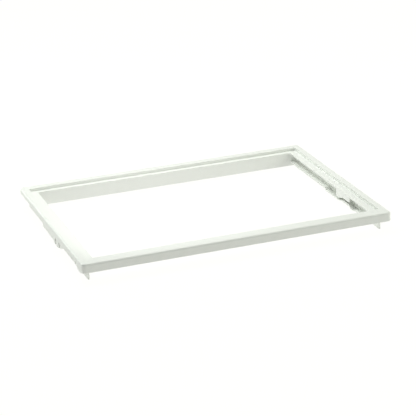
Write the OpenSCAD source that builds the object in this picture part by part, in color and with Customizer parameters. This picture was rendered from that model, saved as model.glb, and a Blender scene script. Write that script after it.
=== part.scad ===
// Cover frame for a refrigerator deli drawer: one white injection moulding.
// A stepped rebate round the opening holds the glass, and a web with an inward
// rail on each side carries the drawer. The underside is hollow and ribbed.
// Origin: middle of the footprint, on the plane that the webs stand on.

/* [Overall] */
// Width of the cover, left to right
cover_w = 560; // [480:5:640]
// Depth of the cover, front to back
cover_d = 422; // [380:2:480]
// Height from the lower edge of the side webs to the top face
cover_h = 35.5; // [35:0.5:40]
// Radius of the outer corners, seen from above
corner_r = 7.5; // [6:0.5:12]
// Radius of the rounded edge round the top
edge_r = 4; // [2.5:0.5:5]

/* [Walls] */
// Thickness of the rim and of the glass ledge
plate_t = 2.6; // [2:0.1:3]
// Thickness of skirts, webs, rails and the back wall
wall_t = 2.5; // [2:0.1:3]
// Thickness of the stiffening ribs
rib_t = 1.6; // [1.2:0.1:2]

/* [Glass rebate] */
// Drop from the rim to the glass ledge
rebate_drop = 5.5; // [4:0.1:6.5]
// Width of the rim along each side
side_rim = 13.5; // [13:0.5:16]
// Width of the rim along the front
front_rim = 23.5; // [20:0.5:26]
// Width of the rim along the back
back_rim = 17; // [15:0.5:20]
// Width of the glass ledge along each side
side_ledge = 14.3; // [14:0.1:18]
// Width of the glass ledge along the front
front_ledge = 10; // [8:0.5:12]
// Width of the glass ledge along the back
back_ledge = 10.6; // [9:0.1:14]
// Corner radius of the rebate
rebate_r = 2.5; // [1:0.5:4]
// Corner radius of the opening
opening_r = 4; // [2:0.5:6]

/* [Skirts and back wall] */
// Height of the skirt along the front
front_drop = 16; // [14:0.5:18]
// Height of the skirt along the sides and the back
side_drop = 9.5; // [9:0.5:12]
// Height of the cheek behind each front corner
cheek_drop = 19.8; // [18:0.1:22]
// Distance from the front face to the back end of each cheek
cheek_end = 63; // [56:1:70]
// Height of the cheek at its back end
cheek_tail = 13.5; // [12:0.5:15]
// Width of the two slots in the back of each cheek
cheek_slot = 3.6; // [3:0.1:5]
// Height of the inner lip that stiffens the front bar
lip_drop = 12; // [10:0.5:14]
// Height of the wall behind the opening
back_drop = 31.2; // [26:0.1:33]

/* [Side webs and drawer rails] */
// Distance from the outer face of a side to the outer face of its web
web_inset = 13.3; // [13:0.1:15]
// Distance from the front face to the front end of each web
web_start = 19; // [16:0.5:24]
// Distance from the back face to the back end of each web
web_end = 13; // [10:0.5:20]
// Distance from the outer face of a side to the inner edge of its rail
rail_inset = 26.8; // [25:0.1:28]
// Depth of the rail's running face below the top
rail_drop = 22.5; // [21:0.5:24]
// Distance from the front face to the front end of each rail
rail_start = 34; // [30:1:40]
// Depth of the two dips that catch the drawer's runner
dip = 4.8; // [3:0.1:6]
// Thickness of the rail
rail_t = 1.6; // [1.4:0.1:2.5]
// Radius of the inside corner between rail and web
rail_fillet_r = 3; // [2:0.5:5]
// Thickness of the hold-down wall over the rail
keeper_t = 2.2; // [1.8:0.1:2.6]
// Depth of the hold-down wall over the rail's long dip
keeper_drop = 21.5; // [20:0.5:22]
// Depth of the hold-down wall at its front end
keeper_start = 17; // [14:0.5:18]

/* [Locating lugs] */
// Distance from the front face to the back edge of each lug
lug_back = 256; // [240:1:270]
// Distance from the front face to the front edge of each lug
lug_front = 112; // [100:1:120]
// Depth of the lug's long straight edge
lug_drop = 20.5; // [18:0.5:23]
// Depth at which the gaps between the fingers start
gap_top = 13.5; // [12:0.5:15]
// Depth of the lug's pointed fingers
finger_drop = 25.8; // [24:0.1:28]
// Width of the two gaps that part the fingers
finger_gap = 7.5; // [5:0.5:9]

/* [Ribs] */
// Number of ribs under the front bar
front_ribs = 7; // [3:1:11]
// Number of ribs under the back bar
back_ribs = 7; // [3:1:11]

/* [Hidden] */
$fn = 48;
bite = 0.6;
over = 1;
web_in = web_inset + wall_t;
ledge_low = rebate_drop + plate_t;
side_bar = side_rim + side_ledge;
front_bar = front_rim + front_ledge;
back_bar = back_rim + back_ledge;
gap_middles = [lug_front + 36, lug_front + 59];
lug_ribs = [lug_front + 16, lug_front + 44, lug_front + 76, lug_back - 34, lug_back - 8];
lug_rib_drop = side_drop + 6;
cheek_slots = [43.5, 59];
corner_ribs = [34, 50, 66];
corner_rib_drop = side_drop + 1;
front_rib_drop = lip_drop - 1;
back_rib_drop = side_drop - 0.5;

// Ends and corners of the two dips, as distances from the front face
dip_long = [230, 226, 168, 146];
dip_short = [124, 114, 107, 86];

// Corners of the hold-down wall, as distances from the front face
keeper_line = [118, 146, 164, 176];

// Lower edge of a cheek, from the front face to its back end, as [y, z]
cheek_line = [[2, -front_drop], [14, -cheek_drop], [28, -cheek_drop], [40, -cheek_drop + 4],
              [cheek_end, -cheek_tail], [cheek_end, -side_drop]];

// Lower edge of a lug, from front to back, as [y, z]
lug_line = [[lug_front, -side_drop], [lug_front + 20, -lug_drop + 1.5],
            [lug_front + 33, -finger_drop + 3], [lug_front + 50, -finger_drop],
            [lug_front + 67, -finger_drop + 0.6], [lug_front + 74, -lug_drop - 1],
            [lug_back - 16, -lug_drop + 1], [lug_back, -lug_drop]];

// Everything below is laid out from the front left corner of the top face,
// with x to the right, y to the back and z = 0 on the top face.

// Rectangle with round corners, between two opposite corners
module round_rect(low, high, r) {
    size = high - low;
    translate(low) {
        translate([r, 0]) square([size.x - 2 * r, size.y]);
        translate([0, r]) square([size.x, size.y - 2 * r]);
        for (x = [r, size.x - r], y = [r, size.y - r])
            translate([x, y]) circle(r);
    }
}

// Section of the outer edge: upright face, rounded over into the top
module edge_section(drop) {
    translate([0, -drop]) square([corner_r - edge_r, drop]);
    translate([0, -drop]) square([corner_r, drop - edge_r]);
    intersection() {
        translate([corner_r - edge_r, -edge_r]) circle(edge_r);
        translate([0, -drop]) square([corner_r, drop]);
    }
}

// Straight stretch of the outer edge, its face at y = 0 and running along +x
module edge_run(length, drop) {
    rotate([90, 0, 90]) linear_extrude(length)
        translate([corner_r, 0]) mirror([1, 0]) edge_section(drop);
}

// Solid block with round corners and a rounded top edge
module block(drop) {
    for (corner = [[0, corner_r, corner_r, 180], [0, cover_w - corner_r, corner_r, 270],
                   [0, cover_w - corner_r, cover_d - corner_r, 0], [0, corner_r, cover_d - corner_r, 90]])
        translate([corner[1], corner[2], 0]) rotate([0, 0, corner[3]])
            rotate_extrude(angle = 90) edge_section(drop);
    translate([corner_r, 0, 0]) edge_run(cover_w - 2 * corner_r, drop);
    translate([cover_w - corner_r, cover_d, 0]) rotate([0, 0, 180])
        edge_run(cover_w - 2 * corner_r, drop);
    translate([cover_w, corner_r, 0]) rotate([0, 0, 90]) edge_run(cover_d - 2 * corner_r, drop);
    translate([0, cover_d - corner_r, 0]) rotate([0, 0, -90])
        edge_run(cover_d - 2 * corner_r, drop);
    translate([corner_r, corner_r, -drop])
        cube([cover_w - 2 * corner_r, cover_d - 2 * corner_r, drop]);
}

// Prism along x whose outline is drawn in y and z
module across(x, length) {
    translate([x, 0, 0]) rotate([90, 0, 90]) linear_extrude(length) children();
}

// The same feature on the left side and, mirrored, on the right
module both_sides() {
    children();
    translate([cover_w, 0, 0]) mirror([1, 0, 0]) children();
}

// Outline of the rebate, seen from above, grown by the given amount
module rebate_outline(grow = 0) {
    round_rect([side_rim - grow, front_rim - grow],
               [cover_w - side_rim + grow, cover_d - back_rim + grow], rebate_r + grow);
}

// Outline of the opening, seen from above
module opening_outline() {
    round_rect([side_bar, front_bar], [cover_w - side_bar, cover_d - back_bar], opening_r);
}

// Rim with the skirts round it, hollow underneath
module rim_and_skirts() {
    difference() {
        block(cheek_drop);
        translate([0, 0, -cheek_drop - over]) linear_extrude(cheek_drop + over - plate_t)
            round_rect([wall_t, wall_t], [cover_w - wall_t, cover_d - wall_t], corner_r - wall_t);
        translate([0, 0, -cheek_drop - over]) linear_extrude(cheek_drop + 2 * over)
            rebate_outline();
        across(-over, cover_w + 2 * over)
            polygon(concat([[-over, -front_drop]], cheek_line,
                           [[cover_d + over, -side_drop], [cover_d + over, -cheek_drop - over],
                            [-over, -cheek_drop - over]]));
        for (y = cheek_slots)
            translate([-over, y - cheek_slot / 2, -cheek_drop - over])
                cube([cover_w + 2 * over, cheek_slot, cheek_drop + over - side_drop]);
    }
}

// Step down from the rim and the ledge that the glass lies on, still filled in
module glass_tray() {
    translate([0, 0, -ledge_low]) linear_extrude(ledge_low - bite) rebate_outline(wall_t);
}

// Space over the ledge for the glass, and the opening inside the ledge
module glass_space() {
    translate([0, 0, -rebate_drop]) linear_extrude(rebate_drop + over) rebate_outline();
    translate([0, 0, -ledge_low - over]) linear_extrude(ledge_low + over) opening_outline();
}

// Wall under the ledge behind the opening, from web to web
module back_wall() {
    translate([web_inset, cover_d - back_bar, -back_drop])
        cube([cover_w - 2 * web_inset, wall_t, back_drop - ledge_low + bite]);
}

// Low lip under the ledge in front of the opening
module front_lip() {
    translate([web_inset, front_bar - wall_t, -lip_drop])
        cube([cover_w - 2 * web_inset, wall_t, lip_drop - ledge_low + bite]);
}

// Upright web that the cover stands on
module side_web() {
    translate([web_inset, web_start, -cover_h])
        cube([wall_t, cover_d - web_end - web_start, cover_h - ledge_low + bite]);
}

// Running face of the rail, front to back, with its two dips
rail_line = [
    [rail_start, -rail_drop], [dip_short[3], -rail_drop],
    [dip_short[2], -rail_drop - dip], [dip_short[1], -rail_drop - dip],
    [dip_short[0], -rail_drop], [dip_long[3], -rail_drop],
    [dip_long[2], -rail_drop - dip], [dip_long[1], -rail_drop - dip],
    [dip_long[0], -rail_drop], [cover_d - back_bar + bite, -rail_drop]
];

// Inward rail that the drawer's rim runs on
module drawer_rail() {
    last = len(rail_line) - 1;
    across(web_in - bite, rail_inset - web_in + bite)
        polygon(concat(rail_line, [for (i = [last:-1:0]) rail_line[i] - [0, rail_t]]));
}

// Rounded inside corner between web and rail, left out at the two dips
module rail_fillet() {
    length = cover_d - back_bar + bite - rail_start;
    difference() {
        translate([web_in - bite, rail_start, -rail_drop - bite])
            cube([rail_fillet_r + bite, length, rail_fillet_r + bite]);
        translate([web_in + rail_fillet_r, rail_start - over, rail_fillet_r - rail_drop])
            rotate([-90, 0, 0]) cylinder(h = length + 2 * over, r = rail_fillet_r);
        for (dips = [dip_short, dip_long])
            translate([web_in, dips[3], -rail_drop])
                cube([rail_fillet_r + over, dips[0] - dips[3], rail_fillet_r + over]);
    }
}

// Short wall over the rail that stops the drawer tipping when it is pulled out
module keeper() {
    top = -ledge_low + bite;
    across(side_bar - keeper_t, keeper_t)
        polygon([[keeper_line[0], top], [keeper_line[0], -keeper_start],
                 [keeper_line[1], -keeper_start], [keeper_line[2], -keeper_drop],
                 [keeper_line[3], -keeper_drop], [keeper_line[3], top]]);
}

// Lug under the outer edge, with three fingers, that drops into the cabinet's side
module locating_lug() {
    difference() {
        across(0, wall_t)
            polygon(concat([[lug_front, -side_drop + bite]], lug_line,
                           [[lug_back, -side_drop + bite]]));
        for (y = gap_middles)
            translate([-over, y - finger_gap / 2, -finger_drop - over])
                cube([wall_t + 2 * over, finger_gap, finger_drop + over - gap_top]);
    }
    for (y = lug_ribs)
        translate([wall_t - bite, y, -lug_rib_drop])
            cube([web_inset - wall_t + 2 * bite, rib_t, lug_rib_drop - plate_t + bite]);
}

// Small gussets between skirt and web behind the front corner
module corner_gussets() {
    for (y = corner_ribs)
        translate([wall_t - bite, y, -corner_rib_drop])
            cube([web_inset - wall_t + 2 * bite, rib_t, corner_rib_drop - plate_t + bite]);
}

// Cross ribs under the front bar and the back bar
module bar_ribs() {
    for (i = [1:front_ribs])
        translate([i * cover_w / (front_ribs + 1) - rib_t / 2, wall_t - bite, -front_rib_drop])
            cube([rib_t, front_bar - 2 * wall_t + 2 * bite, front_rib_drop - plate_t + bite]);
    for (i = [1:back_ribs])
        translate([i * cover_w / (back_ribs + 1) - rib_t / 2, cover_d - back_bar + wall_t - bite,
                   -back_rib_drop])
            cube([rib_t, back_bar - 2 * wall_t + 2 * bite, back_rib_drop - plate_t + bite]);
}

module cover_frame() {
    color("whitesmoke") translate([-cover_w / 2, -cover_d / 2, cover_h]) {
        difference() {
            union() {
                rim_and_skirts();
                glass_tray();
                bar_ribs();
                both_sides() {
                    locating_lug();
                    corner_gussets();
                }
            }
            glass_space();
        }
        back_wall();
        front_lip();
        both_sides() {
            side_web();
            drawer_rail();
            rail_fillet();
            keeper();
        }
    }
}

cover_frame();
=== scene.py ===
import math

import bpy
from mathutils import Matrix, Vector


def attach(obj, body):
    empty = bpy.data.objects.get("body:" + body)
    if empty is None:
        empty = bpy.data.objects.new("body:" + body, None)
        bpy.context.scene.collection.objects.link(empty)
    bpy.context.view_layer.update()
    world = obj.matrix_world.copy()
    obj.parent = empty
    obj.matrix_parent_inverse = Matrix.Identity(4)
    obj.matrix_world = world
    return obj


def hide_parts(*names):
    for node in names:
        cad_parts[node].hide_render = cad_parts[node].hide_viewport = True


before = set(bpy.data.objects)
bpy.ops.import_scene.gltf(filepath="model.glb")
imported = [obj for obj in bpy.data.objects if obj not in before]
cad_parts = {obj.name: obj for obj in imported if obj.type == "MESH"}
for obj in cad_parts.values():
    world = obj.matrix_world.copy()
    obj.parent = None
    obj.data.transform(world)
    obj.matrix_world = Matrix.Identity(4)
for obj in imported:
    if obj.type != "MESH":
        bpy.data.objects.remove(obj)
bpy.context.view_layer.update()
print("frame loaded:", ", ".join(sorted(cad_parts)))


def deselectAll():
    if bpy.context.object and bpy.context.object.mode != "OBJECT":
        bpy.ops.object.mode_set(mode="OBJECT")
    bpy.ops.object.select_all(action="DESELECT")


def makeActive(piece):
    deselectAll()
    piece.select_set(True)
    bpy.context.view_layer.objects.active = piece


# Camera: a long lens, from the front left and above, as in the photograph.
cameraSetup = {
    "target": (0.0, 0.0, 0.0355),  # middle of the top face
    "azimuth": -19.14,            # degrees, negative is to the left of the front
    "elevation": 20.25,
    "roll": -2.5,
    "distance": 3.0879,
    "aside": -0.01530,            # where the target sits in the picture, in metres
    "above": 0.01557,
    "lens": 148.62,               # millimetres
    "sensor": 36.0,
    "reach": 100.0,               # how far the camera sees, in metres
}


def placeCamera(setup):
    az = math.radians(setup["azimuth"])
    el = math.radians(setup["elevation"])
    roll = math.radians(setup["roll"])
    back = Vector((math.sin(az) * math.cos(el), -math.cos(az) * math.cos(el), math.sin(el)))
    level = Vector((math.cos(az), math.sin(az), 0.0))
    steep = back.cross(level)
    right = math.cos(roll) * level + math.sin(roll) * steep
    up = -math.sin(roll) * level + math.cos(roll) * steep
    place = (Vector(setup["target"]) + setup["distance"] * back
             - setup["aside"] * right - setup["above"] * up)
    bpy.ops.object.camera_add(location=place)
    camera = bpy.context.object
    camera.name = "viewCamera"
    turn = Matrix((right, up, back)).transposed()
    camera.rotation_euler = turn.to_euler()
    camera.data.sensor_width = setup["sensor"]
    camera.data.lens = setup["lens"]
    camera.data.clip_end = setup["reach"]
    bpy.context.scene.camera = camera


deselectAll()
placeCamera(cameraSetup)
print("camera placed")


# One socket of a node tree, so that shader maths reads as plain expressions.
class Signal:
    def __init__(self, tree, socket):
        self.tree = tree
        self.socket = socket

    def math(self, operation, first, second):
        node = self.tree.nodes.new("ShaderNodeMath")
        node.operation = operation
        for socket, value in zip(node.inputs, (first, second)):
            if isinstance(value, Signal):
                self.tree.links.new(value.socket, socket)
            else:
                socket.default_value = value
        return Signal(self.tree, node.outputs[0])

    def __add__(self, other):
        return self.math("ADD", self, other)

    def __radd__(self, other):
        return self.math("ADD", other, self)

    def __sub__(self, other):
        return self.math("SUBTRACT", self, other)

    def __rsub__(self, other):
        return self.math("SUBTRACT", other, self)

    def __mul__(self, other):
        return self.math("MULTIPLY", self, other)

    def __rmul__(self, other):
        return self.math("MULTIPLY", other, self)


class Shader:
    def __init__(self, name):
        self.material = bpy.data.materials.new(name)
        self.material.use_nodes = True
        self.tree = self.material.node_tree
        self.tree.nodes.clear()

    # Any node: its settings first, then the values or links of its sockets.
    def node(self, kind, settings=None, **sockets):
        node = self.tree.nodes.new("ShaderNode" + kind)
        for name, value in (settings or {}).items():
            setattr(node, name, value)
        for name, value in sockets.items():
            socket = node.inputs[name.replace("_", " ")]
            if isinstance(value, Signal):
                self.tree.links.new(value.socket, socket)
            else:
                socket.default_value = value
        return node

    def signal(self, kind, settings=None, output=0, **sockets):
        return Signal(self.tree, self.node(kind, settings, **sockets).outputs[output])

    def mixColour(self, factor, first, second):
        node = self.tree.nodes.new("ShaderNodeMix")
        node.data_type = "RGBA"
        ends = ((node.inputs[0], factor), (node.inputs[6], first), (node.inputs[7], second))
        for socket, value in ends:
            if isinstance(value, Signal):
                self.tree.links.new(value.socket, socket)
            else:
                socket.default_value = value
        return Signal(self.tree, node.outputs[2])


# White moulded plastic: a soft sheen, a very fine grain and slow waves left by the mould.
plasticLook = {
    "paleTone": (0.852, 0.876, 0.834, 1.0),
    "warmTone": (0.816, 0.838, 0.792, 1.0),
    "tone": {"Scale": 7.0, "Detail": 3.0, "Roughness": 0.5},
    "speck": {"Scale": 260.0, "Detail": 4.0, "Roughness": 0.65},
    "grain": {"Scale": 1500.0, "Detail": 2.0, "Roughness": 0.6},
    "wave": {"Scale": 16.0, "Detail": 1.0, "Roughness": 0.4},
    "toneShare": 0.55,         # the specks have the rest
    "grainDepth": 0.00001,     # metres
    "grainStrength": 0.6,
    "waveDepth": 0.00025,      # metres
    "waveStrength": 0.5,
    "roughness": 0.42,
    "roughnessSpread": 0.10,
    "bend": 1.5,               # index of refraction
    "sheen": 0.08,             # weight of the clear coat
    "sheenRoughness": 0.25,
}


def makePlastic(look):
    s = Shader("whiteMouldedPlastic")
    place = s.signal("TexCoord", output=3)  # Object coordinates
    tone = s.signal("TexNoise", Vector=place, **look["tone"])
    speck = s.signal("TexNoise", Vector=place, **look["speck"])
    grain = s.signal("TexNoise", Vector=place, **look["grain"])
    wave = s.signal("TexNoise", Vector=place, **look["wave"])
    mottle = look["toneShare"] * tone + (1.0 - look["toneShare"]) * speck
    colour = s.mixColour(mottle, look["paleTone"], look["warmTone"])
    shine = (tone + speck - 1.0) * look["roughnessSpread"] + look["roughness"]
    waved = s.signal("Bump", Height=wave, Strength=look["waveStrength"], Distance=look["waveDepth"])
    grained = s.signal("Bump", Height=grain, Strength=look["grainStrength"],
                       Distance=look["grainDepth"], Normal=waved)
    shader = s.signal("BsdfPrincipled", Base_Color=colour, Roughness=shine, Normal=grained,
                      IOR=look["bend"], Coat_Weight=look["sheen"],
                      Coat_Roughness=look["sheenRoughness"])
    s.node("OutputMaterial", Surface=shader)
    return s.material


whitePlastic = makePlastic(plasticLook)
print("plastic mixed")


# The cover: the CAD solid with its facets merged and its sharp edges eased as a mould leaves them.
coverFinish = {
    "mergeGap": 0.00001,
    "flatAngle": math.radians(0.4),
    "edgeRadius": 0.0003,
    "edgeSteps": 2,
    "edgeAngle": math.radians(32),
    "smoothAngle": math.radians(40),
}


def finishCover(cadNode, finish):
    deselectAll()
    cover = cadNode.copy()
    cover.data = cadNode.data.copy()
    cover.name = "coverFrame"
    bpy.context.scene.collection.objects.link(cover)
    makeActive(cover)
    bpy.ops.object.mode_set(mode="EDIT")
    bpy.ops.mesh.select_all(action="SELECT")
    bpy.ops.mesh.remove_doubles(threshold=finish["mergeGap"])
    bpy.ops.mesh.dissolve_limited(angle_limit=finish["flatAngle"])
    bpy.ops.object.mode_set(mode="OBJECT")
    ease = cover.modifiers.new("easedEdges", "BEVEL")
    ease.width = finish["edgeRadius"]
    ease.segments = finish["edgeSteps"]
    ease.limit_method = "ANGLE"
    ease.angle_limit = finish["edgeAngle"]
    ease.miter_outer = "MITER_ARC"
    bpy.ops.object.modifier_apply(modifier=ease.name)
    bpy.ops.object.shade_smooth_by_angle(angle=finish["smoothAngle"])
    even = cover.modifiers.new("evenNormals", "WEIGHTED_NORMAL")
    even.keep_sharp = True
    bpy.ops.object.modifier_apply(modifier=even.name)
    return cover


cover = finishCover(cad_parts["cover_frame"], coverFinish)
cover.data.materials.clear()
cover.data.materials.append(whitePlastic)
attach(cover, "root")
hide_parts("cover_frame")
print("cover finished:", len(cover.data.polygons), "faces")


# A plain white table that shows next to no shadow.
tableSetup = {
    "size": 30.0,
    "drop": 0.0001,
    "glow": 0.99,
    "glowTint": (1.0, 1.0, 0.97, 1.0),
    "albedo": 0.04,
}


def layTable(setup):
    deselectAll()
    bpy.ops.mesh.primitive_plane_add(size=setup["size"], location=(0.0, 0.0, -setup["drop"]))
    table = bpy.context.object
    table.name = "whiteTable"
    bpy.ops.object.transform_apply(location=True)
    s = Shader("whiteTable")
    albedo = setup["albedo"]
    matte = s.signal("BsdfDiffuse", Color=(albedo, albedo, albedo, 1.0))
    glow = s.signal("Emission", Color=setup["glowTint"], Strength=setup["glow"])
    both = s.node("AddShader")
    s.tree.links.new(matte.socket, both.inputs[0])
    s.tree.links.new(glow.socket, both.inputs[1])
    s.node("OutputMaterial", Surface=Signal(s.tree, both.outputs[0]))
    table.data.materials.append(s.material)


layTable(tableSetup)
print("table laid")


# Soft studio light: a dim surround and broad lamps, the main ones above and behind.
lightSetup = {
    "surround": (0.098, 0.098, 0.098),
    "lamps": [
        {"name": "mainLamp", "place": (-0.5, 0.5, 2.0), "aim": (0.0, 0.0, 0.0),
         "size": 1.2, "power": 23.5, "tint": (0.97, 1.0, 1.0)},
        {"name": "ceilingLamp", "place": (0.2, 1.0, 2.2), "aim": (0.0, 0.0, 0.0),
         "size": 2.6, "power": 30.0, "tint": (1.0, 0.98, 0.95)},
        {"name": "rightFill", "place": (1.5, -0.3, 0.8), "aim": (0.0, 0.0, 0.0),
         "size": 0.8, "power": 8.4, "tint": (0.96, 1.0, 0.88)},
        {"name": "frontFill", "place": (1.1, -2.3, 0.8), "aim": (0.0, 0.0, 0.0),
         "size": 1.2, "power": 7.6, "tint": (0.94, 1.0, 0.86)},
        {"name": "leftFill", "place": (-0.9, 1.0, 0.35), "aim": (-0.2, 0.1, 0.02),
         "size": 0.6, "power": 5.2, "tint": (0.92, 1.0, 0.90)},
        {"name": "backWallFill", "place": (-0.08, -0.1, 0.25), "aim": (-0.08, 0.3, 0.0),
         "size": 0.3, "power": 0.38, "tint": (1.0, 0.98, 1.0)},
    ],
}


def lightStudio(setup):
    world = bpy.context.scene.world or bpy.data.worlds.new("surround")
    bpy.context.scene.world = world
    world.use_nodes = True
    backdrop = world.node_tree.nodes["Background"]
    backdrop.inputs["Color"].default_value = (*setup["surround"], 1.0)
    backdrop.inputs["Strength"].default_value = 1.0
    for lamp in setup["lamps"]:
        deselectAll()
        place = Vector(lamp["place"])
        bpy.ops.object.light_add(type="AREA", location=place)
        light = bpy.context.object
        light.name = lamp["name"]
        light.data.shape = "SQUARE"
        light.data.size = lamp["size"]
        light.data.energy = lamp["power"]
        light.data.color = lamp["tint"]
        light.visible_camera = False
        light.rotation_euler = (Vector(lamp["aim"]) - place).to_track_quat("-Z", "Y").to_euler()


lightStudio(lightSetup)
bpy.context.scene.view_settings.view_transform = "Standard"
bpy.context.scene.view_settings.look = "None"
print("lights set")
